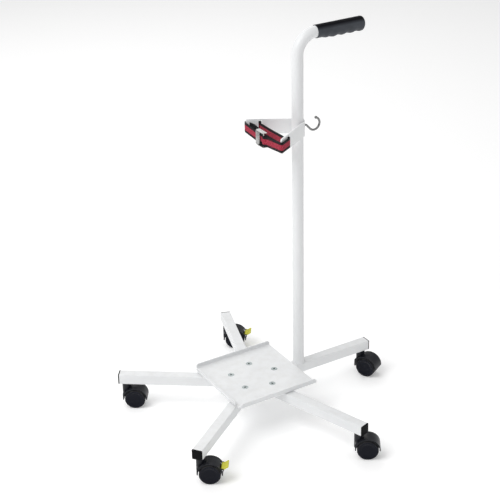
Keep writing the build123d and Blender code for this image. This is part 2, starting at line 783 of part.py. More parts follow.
def ear_outline():
    """One ear of the brake's pivot: round at the pin, widening down to the fender."""
    angle = radians(BRAKE_ANGLE)
    spread = 2 * BRAKE_HUB
    root = FENDER_OUTER - FENDER_WALL / 2
    foot = (TRAIL + root * cos(angle), AXLE_HEIGHT + root * sin(angle))
    with Locations(brake_pivot()):
        Circle(BRAKE_HUB)
    middle = ((foot[0] + brake_pivot()[0]) / 2, (foot[1] + brake_pivot()[1]) / 2)
    with Locations(Location((*middle, 0), (0, 0, BRAKE_ANGLE))):
        Rectangle(BRAKE_PIVOT - root, spread)


def make_axle():
    """The plain pin through the web that both wheels run on."""
    with BuildPart() as axle:
        with BuildSketch(Plane.XZ):
            with Locations((TRAIL, AXLE_HEIGHT)):
                Circle(AXLE_DIAMETER / 2)
        extrude(amount=WHEEL_OUTSIDE - AXLE_COVER - AXLE_END_GAP, both=True)
    return axle.part


def make_wheel(side):
    """One wheel: rounded tread, grooved rim and dished face outside, a recess and hub inside."""
    tread = WHEEL_DIAMETER / 2
    rim = tread - TREAD_BAND
    face = WHEEL_OUTSIDE
    edge = face - RIM_GROOVE / 2
    bore = AXLE_DIAMETER / 2 + RUNNING_CLEARANCE
    corner = (tread - TREAD_CORNER, edge - TREAD_CORNER)
    with BuildPart() as wheel:
        with BuildSketch(Plane.XY.offset(AXLE_HEIGHT)) as outline:
            with BuildLine(mode=Mode.PRIVATE) as profile:
                Polyline(
                    (0, face - DISH_DEPTH),
                    (DISH_RADIUS, face - DISH_DEPTH),
                    (rim - RIM_LAND, face),
                    (rim, face),
                    (rim, face - RIM_GROOVE),
                    (rim + RIM_GROOVE, face - RIM_GROOVE),
                    (rim + RIM_GROOVE, edge),
                    (tread - TREAD_CORNER, edge),
                )
                CenterArc(corner, TREAD_CORNER, 90, -90)
                Polyline(
                    (tread, edge - TREAD_CORNER),
                    (tread, WHEEL_INSIDE + RIM_GROOVE),
                    (tread - RIM_GROOVE, WHEEL_INSIDE),
                    (RECESS_EDGE, WHEEL_INSIDE),
                    (RECESS_EDGE, WHEEL_INSIDE + RECESS_DEPTH),
                    (WHEEL_HUB, WHEEL_INSIDE + RECESS_DEPTH),
                    (WHEEL_HUB, WHEEL_INSIDE),
                    (bore, WHEEL_INSIDE),
                    (bore, face - AXLE_COVER),
                    (0, face - AXLE_COVER),
                    (0, face - DISH_DEPTH),
                )
            with Locations((TRAIL, 0)):
                add(make_face(profile.edges(), mode=Mode.PRIVATE))
        revolve(axis=Axis((TRAIL, 0, AXLE_HEIGHT), (0, 1, 0)))
        if side < 0:
            mirror(about=Plane.XZ, mode=Mode.REPLACE)
    return wheel.part


def make_brake_lever():
    """The foot lever: a tread plate outside the fender and a nose that reaches the wheels."""
    x, z = brake_pivot()
    nose = BRAKE_PIVOT - WHEEL_DIAMETER / 2 - BRAKE_TREAD_GAP
    nose_angle = 180 + BRAKE_ANGLE + BRAKE_TRAVEL
    with BuildPart() as lever:
        with BuildSketch(Plane.XZ) as outline:
            with Locations((x, z)):
                Circle(BRAKE_HUB)
            for angle, length in ((BRAKE_TILT, BRAKE_LENGTH), (nose_angle, nose)):
                middle = (x + length / 2 * cos(radians(angle)), z + length / 2 * sin(radians(angle)))
                with Locations(Location((*middle, 0), (0, 0, angle))):
                    Rectangle(length, BRAKE_THICKNESS)
            fillet(outline.vertices().group_by(Axis.X)[-1], BRAKE_THICKNESS / 3)
            with Locations((x, z)):
                Circle(BRAKE_PIN / 2 + RUNNING_CLEARANCE, mode=Mode.SUBTRACT)
        extrude(amount=BRAKE_WIDTH / 2, both=True)
    return lever.part


def make_brake_pin():
    """The pin through both ears that the brake lever rocks on."""
    with BuildPart() as pin:
        with BuildSketch(Plane.XZ):
            with Locations(brake_pivot()):
                Circle(BRAKE_PIN / 2)
        extrude(amount=BRAKE_WIDTH / 2 + EAR_GAP + EAR_THICKNESS, both=True)
    return pin.part


def build_castors():
    finish(placed(make_stem(), *on_every_leg(STEM_REACH)), "castor_stems")
    finish(placed(make_stem_ring(), *on_every_leg(STEM_REACH)), "stem_rings")
    hoods = {braked: make_hood(braked) for braked in (False, True)}
    axle = make_axle()
    wheels = {"left": make_wheel(1), "right": make_wheel(-1)}
    lever = make_brake_lever()
    pin = make_brake_pin()
    for number in range(1, LEG_COUNT + 1):
        turn = POST_LEG_TRAIL_DIRECTION if number == 1 else TRAIL_DIRECTION
        station = on_leg(number, STEM_REACH, turn)
        braked = number in BRAKED_LEGS
        finish(placed(hoods[braked], station), f"castor_{number}_hood")
        finish(placed(axle, station), f"castor_{number}_axle")
        for name, wheel in wheels.items():
            finish(placed(wheel, station), f"castor_{number}_wheel_{name}")
        if braked:
            finish(placed(lever, station), f"castor_{number}_brake_lever")
            finish(placed(pin, station), f"castor_{number}_brake_pin")


def frame_origin():
    """The point under the middle of the whole trolley's box, on the floor."""
    boxes = [piece.bounding_box() for piece in pieces.values()]
    low_x = min(box.min.X for box in boxes)
    high_x = max(box.max.X for box in boxes)
    low_y = min(box.min.Y for box in boxes)
    high_y = max(box.max.Y for box in boxes)
    low_z = min(box.min.Z for box in boxes)
    return Vector((low_x + high_x) / 2, (low_y + high_y) / 2, low_z)


def write_pieces():
    """Move every piece so that the origin is under the box's middle, and write its STEP."""
    origin = frame_origin()
    shift = Location((-origin.X, -origin.Y, -origin.Z))
    for name, piece in pieces.items():
        export_step(piece.moved(shift), f"parts/{name}.step")
    print("origin", round(origin.X, 4), round(origin.Y, 4), round(origin.Z, 4))


build_base()
build_tray()
build_post()
build_bracket()
build_castors()
write_pieces()
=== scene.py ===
"""Looks for the equipment trolley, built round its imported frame."""
import json
from math import cos, pi, radians, sin, tau

import bpy
import numpy as np
from mathutils import Matrix, Vector


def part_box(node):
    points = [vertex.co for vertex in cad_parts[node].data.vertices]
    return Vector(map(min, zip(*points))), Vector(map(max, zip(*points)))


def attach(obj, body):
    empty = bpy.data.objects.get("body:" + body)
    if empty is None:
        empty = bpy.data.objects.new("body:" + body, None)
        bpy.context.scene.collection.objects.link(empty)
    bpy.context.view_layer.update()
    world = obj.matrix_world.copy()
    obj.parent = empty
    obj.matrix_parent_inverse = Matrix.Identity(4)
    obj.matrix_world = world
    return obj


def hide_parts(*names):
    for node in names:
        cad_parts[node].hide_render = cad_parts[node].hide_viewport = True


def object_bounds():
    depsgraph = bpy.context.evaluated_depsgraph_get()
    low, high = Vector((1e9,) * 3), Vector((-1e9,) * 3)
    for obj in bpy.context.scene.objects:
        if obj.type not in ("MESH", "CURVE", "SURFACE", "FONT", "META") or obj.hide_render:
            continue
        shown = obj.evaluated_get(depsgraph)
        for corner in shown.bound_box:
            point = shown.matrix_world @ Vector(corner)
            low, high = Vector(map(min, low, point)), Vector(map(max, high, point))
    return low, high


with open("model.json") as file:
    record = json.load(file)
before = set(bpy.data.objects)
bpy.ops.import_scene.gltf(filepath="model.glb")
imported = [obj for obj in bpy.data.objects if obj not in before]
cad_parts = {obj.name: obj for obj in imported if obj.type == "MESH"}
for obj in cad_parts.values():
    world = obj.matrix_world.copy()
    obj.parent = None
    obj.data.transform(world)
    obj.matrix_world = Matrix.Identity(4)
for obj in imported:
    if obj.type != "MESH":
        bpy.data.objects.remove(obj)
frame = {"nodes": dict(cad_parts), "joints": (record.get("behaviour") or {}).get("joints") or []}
cad_low, cad_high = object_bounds()
nodes = frame["nodes"]
joints = {joint["name"]: joint for joint in frame["joints"]}
LEG_COUNT = 5
castors = range(1, LEG_COUNT + 1)
braked_castors = (2, 4)

MM = 0.001

# ---- camera: how it looks at the hub, from above the leg tops ----
VIEW_TURN = 30.627
VIEW_DOWN = 26.448
VIEW_ROLL = -1.246
VIEW_BACK = 2.7457
VIEW_RIGHT = -0.0039
VIEW_UP = 1.7072
LENS = 95.92
SENSOR = 36

# ---- sizes that the frame's boxes don't give, in metres ----
LEG_HALF = 12.5 * MM
POST_RADIUS = 13.5 * MM
BRACKET_SHEET = 3 * MM
WING_ANGLE = radians(32)
WING_LENGTH = 117 * MM
SLOT_START = 80 * MM
SLOT_WIDTH = 8 * MM
WEB_WIDTH = 25 * MM
WEB_THICKNESS = 1.5 * MM
WEB_RIB = 1.6 * MM
WEB_RELIEF = 0.07 * MM
STRIPE_REACH = 6.25    # from the middle of the web to the stripe's edge, in the millimetres of its UV map
BUCKLE_SAG = 5.5 * MM
GRIP_RADIUS = 15.25 * MM
GRIP_BORE = 13.55 * MM
SLEEVE_RADIUS = 15.1 * MM
GRIP_NOSE = 7.5 * MM
FINGER_PITCH = 24 * MM
FINGER_INSET = 11 * MM
BRAKE_TILT = radians(32)

# ---- places read from the frame ----
post_low, post_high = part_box("post")
bracket_low, bracket_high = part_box("strap_bracket")
strap_low, strap_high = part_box("strap")
grip_low, grip_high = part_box("handle_grip")
leg_low, leg_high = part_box("leg_1")
hub = Vector((leg_low.x, (leg_low.y + leg_high.y) / 2, leg_high.z))
post_axis = Vector((post_low.x + POST_RADIUS, hub.y, leg_high.z))


# ---------------------------------------------------------------- camera, floor and lights
def add_camera():
    """The camera stands back, right and up from the hub, turned about +Z, tipped down and rolled."""
    turn = Matrix.Rotation(radians(-VIEW_TURN), 4, "Z")
    place = hub + turn @ Vector((VIEW_RIGHT, -VIEW_BACK, VIEW_UP))
    tip = Matrix.Rotation(radians(90 - VIEW_DOWN), 4, "X")
    roll = Matrix.Rotation(radians(VIEW_ROLL), 4, "Z")
    camera = bpy.data.objects.new("camera", bpy.data.cameras.new("camera"))
    bpy.context.scene.collection.objects.link(camera)
    camera.matrix_world = Matrix.Translation(place) @ turn @ tip @ roll
    camera.data.lens = LENS
    camera.data.sensor_width = SENSOR
    camera.data.clip_end = 100
    bpy.context.scene.camera = camera


def add_softbox(name, side_angle, elevation, distance, size, power):
    """A square area light aimed at the trolley; side_angle turns it from the camera, left positive."""
    target = hub + Vector((0.05, 0, 0.35))
    bearing = radians(-90 - VIEW_TURN - side_angle)
    lift = radians(elevation)
    away = Vector((cos(bearing) * cos(lift), sin(bearing) * cos(lift), sin(lift)))
    data = bpy.data.lights.new(name, "AREA")
    data.size = size
    data.energy = power
    lamp = bpy.data.objects.new(name, data)
    bpy.context.scene.collection.objects.link(lamp)
    facing = away.to_track_quat("Z", "Y").to_matrix().to_4x4()
    lamp.matrix_world = Matrix.Translation(target + away * distance) @ facing


def add_world(strength):
    world = bpy.data.worlds.new("studio")
    world.use_nodes = True
    background = world.node_tree.nodes["Background"]
    background.inputs["Color"].default_value = (1, 1, 1, 1)
    background.inputs["Strength"].default_value = strength
    bpy.context.scene.world = world
    bpy.context.scene.view_settings.view_transform = "Standard"


# ---------------------------------------------------------------- node helpers
def add_node(tree, kind, values=None, **settings):
    """One node; values sets inputs by name or number, and an output socket given there is linked."""
    node = tree.nodes.new(kind)
    for name, value in settings.items():
        setattr(node, name, value)
    for key, value in (values or {}).items():
        if isinstance(value, bpy.types.NodeSocket):
            tree.links.new(value, node.inputs[key])
        else:
            node.inputs[key].default_value = value
    return node


def calculate(tree, operation, first, second=0.0, third=0.0, clamp=False):
    """A Math node's output."""
    values = {0: first, 1: second, 2: third}
    return add_node(tree, "ShaderNodeMath", values, operation=operation, use_clamp=clamp).outputs[0]


def remap(tree, value, low, high, to_low, to_high):
    values = {"Value": value, "From Min": low, "From Max": high, "To Min": to_low, "To Max": to_high}
    return add_node(tree, "ShaderNodeMapRange", values).outputs["Result"]


def mix_colour(tree, factor, first, second):
    node = add_node(tree, "ShaderNodeMix", data_type="RGBA")
    for index, value in ((0, factor), (6, first), (7, second)):
        if isinstance(value, bpy.types.NodeSocket):
            tree.links.new(value, node.inputs[index])
        else:
            node.inputs[index].default_value = value
    return node.outputs[2]


def new_group(name, inputs, outputs):
    """An empty node group with float inputs (name: default) and float outputs."""
    group = bpy.data.node_groups.new(name, "ShaderNodeTree")
    for title, default in inputs.items():
        socket = group.interface.new_socket(title, in_out="INPUT", socket_type="NodeSocketFloat")
        socket.default_value = default
    for title in outputs:
        group.interface.new_socket(title, in_out="OUTPUT", socket_type="NodeSocketFloat")
    entry = group.nodes.new("NodeGroupInput")
    leave = group.nodes.new("NodeGroupOutput")
    return group, entry, leave


def fill_group(tree, group, values):
    node = add_node(tree, "ShaderNodeGroup", node_tree=group)
    for title, value in values.items():
        node.inputs[title].default_value = value
    return node


# ---------------------------------------------------------------- shared effects
def make_grain_group():
    """Two octaves of noise on Object coordinates: a fine skin over a broader ripple."""
    inputs = {"Per metre": 700.0, "Broad": 0.4}
    group, entry, leave = new_group("surface grain", inputs, ["Height", "Speckle"])
    place = add_node(group, "ShaderNodeTexCoord").outputs["Object"]
    scale = entry.outputs["Per metre"]
    fine = add_node(group, "ShaderNodeTexNoise", {"Vector": place, "Scale": scale, "Detail": 2.0})
    slow = calculate(group, "MULTIPLY", scale, 0.21)
    broad = add_node(group, "ShaderNodeTexNoise", {"Vector": place, "Scale": slow, "Detail": 1.0})
    lift = calculate(group, "MULTIPLY", broad.outputs[0], entry.outputs["Broad"])
    group.links.new(calculate(group, "ADD", fine.outputs[0], lift), leave.inputs["Height"])
    group.links.new(fine.outputs[0], leave.inputs["Speckle"])
    return group


def make_cloud_group():
    """Slow, faint blotches, for uneven colour and gloss."""
    group, entry, leave = new_group("slow cloud", {"Per metre": 14.0}, ["Mask"])
    place = add_node(group, "ShaderNodeTexCoord").outputs["Object"]
    scale = entry.outputs["Per metre"]
    cloud = add_node(group, "ShaderNodeTexNoise", {"Vector": place, "Scale": scale, "Detail": 4.0})
    group.links.new(remap(group, cloud.outputs[0], 0.35, 0.65, 0.0, 1.0), leave.inputs["Mask"])
    return group


def make_edge_group():
    """How far the rounded normal leaves the true one, so 1 on a sharp edge, broken up by noise."""
    group, entry, leave = new_group("edge wear and painted highlight", {"Radius": 0.0008, "Broken": 0.6}, ["Mask"])
    place = add_node(group, "ShaderNodeTexCoord").outputs["Object"]
    true_normal = add_node(group, "ShaderNodeNewGeometry").outputs["True Normal"]
    rounded = add_node(group, "ShaderNodeBevel", {"Radius": entry.outputs["Radius"]}, samples=4)
    normals = {0: rounded.outputs[0], 1: true_normal}
    along = add_node(group, "ShaderNodeVectorMath", normals, operation="DOT_PRODUCT")
    bend = remap(group, along.outputs["Value"], 0.995, 0.8, 0.0, 1.0)
    noise = add_node(group, "ShaderNodeTexNoise", {"Vector": place, "Scale": 260.0, "Detail": 3.0})
    chips = remap(group, noise.outputs[0], 0.3, 0.7, 0.0, 1.0)
    broken = entry.outputs["Broken"]
    whole = calculate(group, "SUBTRACT", 1.0, broken)
    kept = calculate(group, "MULTIPLY_ADD", chips, broken, whole)
    group.links.new(calculate(group, "MULTIPLY", bend, kept, clamp=True), leave.inputs["Mask"])
    return group


def make_dust_group():
    """Dust that has settled on what faces up, thicker where slow noise is high."""
    group, entry, leave = new_group("settled dust", {"Amount": 0.3}, ["Mask"])
    place = add_node(group, "ShaderNodeTexCoord").outputs["Object"]
    normal = add_node(group, "ShaderNodeNewGeometry").outputs["Normal"]
    up = add_node(group, "ShaderNodeSeparateXYZ", {0: normal}).outputs["Z"]
    level = remap(group, up, 0.5, 1.0, 0.0, 1.0)
    noise = add_node(group, "ShaderNodeTexNoise", {"Vector": place, "Scale": 55.0, "Detail": 5.0})
    patch = remap(group, noise.outputs[0], 0.4, 0.75, 0.0, 1.0)
    thick = calculate(group, "MULTIPLY", level, patch)
    mask = calculate(group, "MULTIPLY", thick, entry.outputs["Amount"], clamp=True)
    group.links.new(mask, leave.inputs["Mask"])
    return group


GRAIN = make_grain_group()
CLOUD = make_cloud_group()
EDGE = make_edge_group()
DUST = make_dust_group()


# ---------------------------------------------------------------- materials
def new_material(name):
    material = bpy.data.materials.new(name)
    material.use_nodes = True
    tree = material.node_tree
    return material, tree, tree.nodes["Principled BSDF"]


def bump(tree, shader, height, depth, strength=1.0):
    values = {"Height": height, "Distance": depth, "Strength": strength}
    node = add_node(tree, "ShaderNodeBump", values)
    tree.links.new(node.outputs["Normal"], shader.inputs["Normal"])


def powder_coat(name, colour, shade, thin, roughness, dust=0.25):
    """Powder coat: orange peel, slow uneven tone, thinner grey coat on the edges, a little dust."""
    material, tree, shader = new_material(name)
    grain = fill_group(tree, GRAIN, {"Per metre": 620.0, "Broad": 0.8})
    cloud = fill_group(tree, CLOUD, {"Per metre": 11.0})
    edge = fill_group(tree, EDGE, {"Radius": 0.0009, "Broken": 0.7})
    settled = fill_group(tree, DUST, {"Amount": dust})
    tone = mix_colour(tree, cloud.outputs["Mask"], (*colour, 1), (*shade, 1))
    edge_part = calculate(tree, "MULTIPLY", edge.outputs["Mask"], 0.35)
    worn = mix_colour(tree, edge_part, tone, (*thin, 1))
    final = mix_colour(tree, settled.outputs["Mask"], worn, (0.60, 0.585, 0.55, 1))
    tree.links.new(final, shader.inputs["Base Color"])
    gloss = remap(tree, cloud.outputs["Mask"], 0.0, 1.0, roughness - 0.04, roughness + 0.05)
    dull = calculate(tree, "MULTIPLY_ADD", settled.outputs["Mask"], 0.3, gloss)
    tree.links.new(dull, shader.inputs["Roughness"])
    bump(tree, shader, grain.outputs["Height"], 0.00005)
    return material


def plated_steel(name, bright, dull, roughness, tarnish=0.25):
    """Plated steel: fine drawn lines, cloudy gloss and a darker tone in its blotches."""
    material, tree, shader = new_material(name)
    place = add_node(tree, "ShaderNodeTexCoord").outputs["Object"]
    drawn = add_node(tree, "ShaderNodeMapping", {"Vector": place, "Scale": (900.0, 900.0, 90.0)})
    lines = add_node(tree, "ShaderNodeTexNoise", {"Vector": drawn.outputs[0], "Scale": 1.0, "Detail": 2.0})
    cloud = fill_group(tree, CLOUD, {"Per metre": 130.0})
    edge = fill_group(tree, EDGE, {"Radius": 0.0004, "Broken": 0.3})
    tarnished = calculate(tree, "MULTIPLY", cloud.outputs["Mask"], tarnish)
    tone = mix_colour(tree, tarnished, (*bright, 1), (*dull, 1))
    polished = mix_colour(tree, edge.outputs["Mask"], tone, (0.86, 0.85, 0.83, 1))
    tree.links.new(polished, shader.inputs["Base Color"])
    shader.inputs["Metallic"].default_value = 1.0
    gloss = remap(tree, lines.outputs[0], 0.3, 0.7, roughness - 0.07, roughness + 0.08)
    tree.links.new(gloss, shader.inputs["Roughness"])
    bump(tree, shader, lines.outputs[0], 0.00002)
    return material


def moulded_plastic(name, colour, scuff, roughness, grain_size=1400.0, depth=0.00005, dust=0.06, shine=0.25):
    """Moulded plastic: spark-eroded grain, pale scuffs on the edges and a little dust."""
    material, tree, shader = new_material(name)
    grain = fill_group(tree, GRAIN, {"Per metre": grain_size, "Broad": 0.2})
    cloud = fill_group(tree, CLOUD, {"Per metre": 60.0})
    edge = fill_group(tree, EDGE, {"Radius": 0.0006, "Broken": 0.8})
    settled = fill_group(tree, DUST, {"Amount": dust})
    scuffed = calculate(tree, "MULTIPLY", edge.outputs["Mask"], 0.45)
    edged = mix_colour(tree, scuffed, (*colour, 1), (*scuff, 1))
    final = mix_colour(tree, settled.outputs["Mask"], edged, (0.22, 0.21, 0.20, 1))
    tree.links.new(final, shader.inputs["Base Color"])
    gloss = remap(tree, cloud.outputs["Mask"], 0.0, 1.0, roughness - 0.06, roughness + 0.08)
    tree.links.new(gloss, shader.inputs["Roughness"])
    shader.inputs["Specular IOR Level"].default_value = shine
    bump(tree, shader, grain.outputs["Height"], depth)
    return material


def castor_wheel_material(number):
    """Wheel plastic: a matt scuffed tread outside a satin disc with faint turned rings."""
    joint = joints[f"castor_{number}_wheel_left_spin"]
    material, tree, shader = new_material(f"castor wheel {number}")
    place = add_node(tree, "ShaderNodeTexCoord").outputs["Object"]
    arm = add_node(tree, "ShaderNodeVectorMath", {0: place, 1: tuple(joint["pos_m"])}, operation="SUBTRACT")
    crossed = add_node(
        tree, "ShaderNodeVectorMath", {0: arm.outputs[0], 1: tuple(joint["axis"])}, operation="CROSS_PRODUCT"
    )
    measured = add_node(tree, "ShaderNodeVectorMath", {0: crossed.outputs[0]}, operation="LENGTH")
    radius = measured.outputs["Value"]
    tread = remap(tree, radius, 22.6 * MM, 22.9 * MM, 0.0, 1.0)
    rings = calculate(tree, "SINE", calculate(tree, "MULTIPLY", radius, tau / (0.9 * MM)))
    grain = fill_group(tree, GRAIN, {"Per metre": 1100.0, "Broad": 0.5})
    cloud = fill_group(tree, CLOUD, {"Per metre": 90.0})
    settled = fill_group(tree, DUST, {"Amount": 0.08})
    scuffs = calculate(tree, "MULTIPLY", cloud.outputs["Mask"], tread)
    plain = mix_colour(tree, tread, (0.005, 0.006, 0.011, 1), (0.009, 0.009, 0.011, 1))
    worn = mix_colour(tree, calculate(tree, "MULTIPLY", scuffs, 0.35), plain, (0.06, 0.059, 0.058, 1))
    # Painted highlight: the wheel's sharp edges are lightened to a pale blue-grey, standing for the highlight
    # along its rims.
    edge = fill_group(tree, EDGE, {"Radius": 0.0009, "Broken": 0.3})
    edge_part = calculate(tree, "MULTIPLY", edge.outputs["Mask"], 0.7)
    painted_light_and_wear = mix_colour(tree, edge_part, worn, (0.060, 0.066, 0.088, 1))
    final = mix_colour(tree, settled.outputs["Mask"], painted_light_and_wear, (0.20, 0.19, 0.18, 1))
    tree.links.new(final, shader.inputs["Base Color"])
    tree.links.new(remap(tree, tread, 0.0, 1.0, 0.26, 0.55), shader.inputs["Roughness"])
    shader.inputs["Specular IOR Level"].default_value = 0.12
    height = calculate(tree, "MULTIPLY_ADD", rings, 0.15, grain.outputs["Height"])
    bump(tree, shader, height, 0.00004)
    return material


def grip_material():
    """Soft grip: dark slate sides and a near-black top, with pebbled grain; the top's darkness and lower
    specular are painted shade for a dark reflection from above, and the sides' lighter slate is partly a
    painted reflection of a bright light beside it.
    """
    material, tree, shader = new_material("soft grip")
    place = add_node(tree, "ShaderNodeTexCoord").outputs["Object"]
    pebbles = add_node(tree, "ShaderNodeTexVoronoi", {"Vector": place, "Scale": 950.0}, feature="SMOOTH_F1")
    grain = fill_group(tree, GRAIN, {"Per metre": 1500.0, "Broad": 0.3})
    cloud = fill_group(tree, CLOUD, {"Per metre": 45.0})
    settled = fill_group(tree, DUST, {"Amount": 0.04})
    normal = add_node(tree, "ShaderNodeNewGeometry").outputs["Normal"]
    facing = add_node(tree, "ShaderNodeSeparateXYZ", {0: normal}).outputs["Z"]
    # Painted shade: a mask of the upward-facing top, which is darkened to near black and given less specular,
    # standing for a dark reflection from above.
    painted_light_and_wear = remap(tree, facing, 0.35, 0.8, 0.0, 1.0)
    # The lighter slate of the sides is partly a painted reflection of a bright light at the side.
    side = mix_colour(tree, cloud.outputs["Mask"], (0.042, 0.047, 0.056, 1), (0.056, 0.062, 0.073, 1))
    tone = mix_colour(tree, painted_light_and_wear, side, (0.007, 0.007, 0.009, 1))
    final = mix_colour(tree, settled.outputs["Mask"], tone, (0.06, 0.06, 0.06, 1))
    tree.links.new(final, shader.inputs["Base Color"])
    tree.links.new(remap(tree, cloud.outputs["Mask"], 0.0, 1.0, 0.42, 0.54), shader.inputs["Roughness"])
    tree.links.new(remap(tree, painted_light_and_wear, 0.0, 1.0, 0.26, 0.03), shader.inputs["Specular IOR Level"])
    height = calculate(tree, "MULTIPLY_ADD", pebbles.outputs["Distance"], 0.8, grain.outputs["Height"])
    bump(tree, shader, height, 0.00005)
    return material


def webbing_material(name, with_stripe):
    """Woven polyester from the UV map in millimetres: u along, v across from edge to edge."""
    material, tree, shader = new_material(name)
    uv = add_node(tree, "ShaderNodeUVMap", uv_map="weave").outputs[0]
    split = add_node(tree, "ShaderNodeSeparateXYZ", {0: uv})
    along, across = split.outputs["X"], split.outputs["Y"]
    yarn = calculate(tree, "SINE", calculate(tree, "MULTIPLY", across, tau / 0.9))
    pick = calculate(tree, "SINE", calculate(tree, "MULTIPLY", along, tau / 1.6))
    checker = calculate(tree, "MULTIPLY", yarn, pick)
    fuzz = add_node(tree, "ShaderNodeTexNoise", {"Vector": uv, "Scale": 3.5, "Detail": 5.0})
    wander = calculate(tree, "MULTIPLY_ADD", fuzz.outputs[0], 0.9, across)
    off_centre = calculate(tree, "ABSOLUTE", calculate(tree, "SUBTRACT", wander, 0.45))
    body = (0.005, 0.005, 0.007, 1)
    grey = (0.020, 0.018, 0.021, 1)
    # Painted shade in the weave: the tone is lighter on the raised yarns and darker in the hollows between
    # them.
    tone = mix_colour(tree, remap(tree, checker, -1.0, 1.0, 0.0, 0.55), body, grey)
    if with_stripe:
        stripe = remap(tree, off_centre, STRIPE_REACH - 0.25, STRIPE_REACH + 0.25, 1.0, 0.0)
        # Painted light and shade: the red runs from a shaded dark red in the hollows to a lit red on the
        # raised yarns.
        raised = remap(tree, checker, -1.0, 1.0, 0.0, 1.0)
        red = mix_colour(tree, raised, (0.22, 0.006, 0.020, 1), (0.52, 0.028, 0.064, 1))
        worn = add_node(tree, "ShaderNodeTexNoise", {"Vector": uv, "Scale": 0.42, "Detail": 4.0})
        # Wear: paler rubbed patches of red, at random.
        painted_light_and_wear = remap(tree, worn.outputs[0], 0.42, 0.66, 0.0, 0.55)
        red = mix_colour(tree, painted_light_and_wear, red, (0.68, 0.11, 0.17, 1))
        tone = mix_colour(tree, stripe, tone, red)
    faded = remap(tree, fuzz.outputs[0], 0.45, 0.75, 0.0, 0.10)
    final = mix_colour(tree, faded, tone, (0.35, 0.20, 0.22, 1) if with_stripe else (0.12, 0.12, 0.12, 1))
    tree.links.new(final, shader.inputs["Base Color"])
    tree.links.new(remap(tree, checker, -1.0, 1.0, 0.86, 0.62), shader.inputs["Roughness"])
    shader.inputs["Sheen Weight"].default_value = 0.05
    shader.inputs["Specular IOR Level"].default_value = 0.12
    shader.inputs["Sheen Roughness"].default_value = 0.4
    height = calculate(tree, "MULTIPLY_ADD", fuzz.outputs[0], 0.5, checker)
    bump(tree, shader, height, 0.00025)
    return material


def floor_material():
    """Seamless studio paper: very pale, with a faint fibre."""
    material, tree, shader = new_material("studio paper")
    grain = fill_group(tree, GRAIN, {"Per metre": 260.0, "Broad": 0.5})
    tone = mix_colour(tree, grain.outputs["Speckle"], (0.93, 0.93, 0.93, 1), (0.96, 0.96, 0.96, 1))
    tree.links.new(tone, shader.inputs["Base Color"])
    shader.inputs["Roughness"].default_value = 0.9
    shader.inputs["Specular IOR Level"].default_value = 0.1
    shader.inputs["Emission Color"].default_value = (1, 1, 1, 1)
    shader.inputs["Emission Strength"].default_value = 0.19
    return material


def dress(material, *names):
    for name in names:
        nodes[name].material_slots[0].material = material


# ---------------------------------------------------------------- surfaces
def grid_faces(rows, columns, closed=True, start=0):
    """Quads over rows of points; closed joins each row's last point to its first."""
    spans = columns if closed else columns - 1
    row, column = np.meshgrid(np.arange(rows - 1), np.arange(spans), indexing="ij")
    beside = (column + 1) % columns
    here, above = row * columns, (row + 1) * columns
    corners = [here + column, here + beside, above + beside, above + column]
    return np.stack(corners, axis=-1).reshape(-1, 4) + start


def tube_faces(rows, columns, start=0):
    """A closed tube's quads with a flat face over each end."""
    first = list(range(start, start + columns))
    last = list(range(start + (rows - 1) * columns, start + rows * columns))
    return grid_faces(rows, columns, True, start).tolist() + [first[::-1], last]


def make_piece(name, points, faces, material, body, replaced=(), weave=None, crease=40):
    """A smooth-shaded mesh piece from arrays, riding on a body and standing for CAD nodes."""
    mesh = bpy.data.meshes.new(name)
    mesh.from_pydata(np.asarray(points).reshape(-1, 3).tolist(), [], faces)
    if weave is not None:
        corners = np.empty(len(mesh.loops), dtype=np.int32)
        mesh.loops.foreach_get("vertex_index", corners)
        layer = mesh.uv_layers.new(name="weave")
        layer.data.foreach_set("uv", np.asarray(weave, dtype=np.float32).reshape(-1, 2)[corners].ravel())
    mesh.polygons.foreach_set("use_smooth", np.ones(len(mesh.polygons), dtype=bool))
    mesh.set_sharp_from_angle(angle=radians(crease))
    mesh.materials.append(material)
    mesh.validate()
    piece = bpy.data.objects.new(name, mesh)
    bpy.context.scene.collection.objects.link(piece)
    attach(piece, body)
    if replaced:
        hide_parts(*replaced)
    return piece


def unit(vectors):
    return vectors / np.linalg.norm(vectors, axis=-1, keepdims=True)


def smooth_route(points, step):
    """A quadratic B-spline of the points, resampled at an even step, and its length at each row.

    Between the middles of neighbouring spans it is (1-t)^2 A + 2t(1-t) P + t^2 B.
    """
    points = np.asarray(points, dtype=float)
    middles = (points[1:] + points[:-1]) / 2
    middles[0], middles[-1] = points[0], points[-1]
    t = np.linspace(0, 1, 40)[None, :, None]
    first, bend, last = middles[:-1, None], points[1:-1, None], middles[1:, None]
    dense = ((1 - t) ** 2 * first + 2 * t * (1 - t) * bend + t ** 2 * last).reshape(-1, 3)
    gone = np.concatenate([[0], np.cumsum(np.linalg.norm(np.diff(dense, axis=0), axis=1))])
    even = np.arange(0, gone[-1], step)
    route = np.stack([np.interp(even, gone, dense[:, axis]) for axis in range(3)], axis=1)
    return route, even


def carried(route, outline, up=(0, 0, 1)):
    """The outline's (across, upward) points at each point of a route, square to its direction."""
    direction = unit(np.gradient(route, axis=0))
    across = unit(np.cross(direction, np.asarray(up, dtype=float)))
    upward = np.cross(across, direction)
    return (
        route[:, None, :]
        + across[:, None, :] * outline[..., 0:1]
        + upward[:, None, :] * outline[..., 1:2]
    )


def circle(count):
    angle = np.arange(count) * tau / count
    return np.stack([np.cos(angle), np.sin(angle)], axis=1)


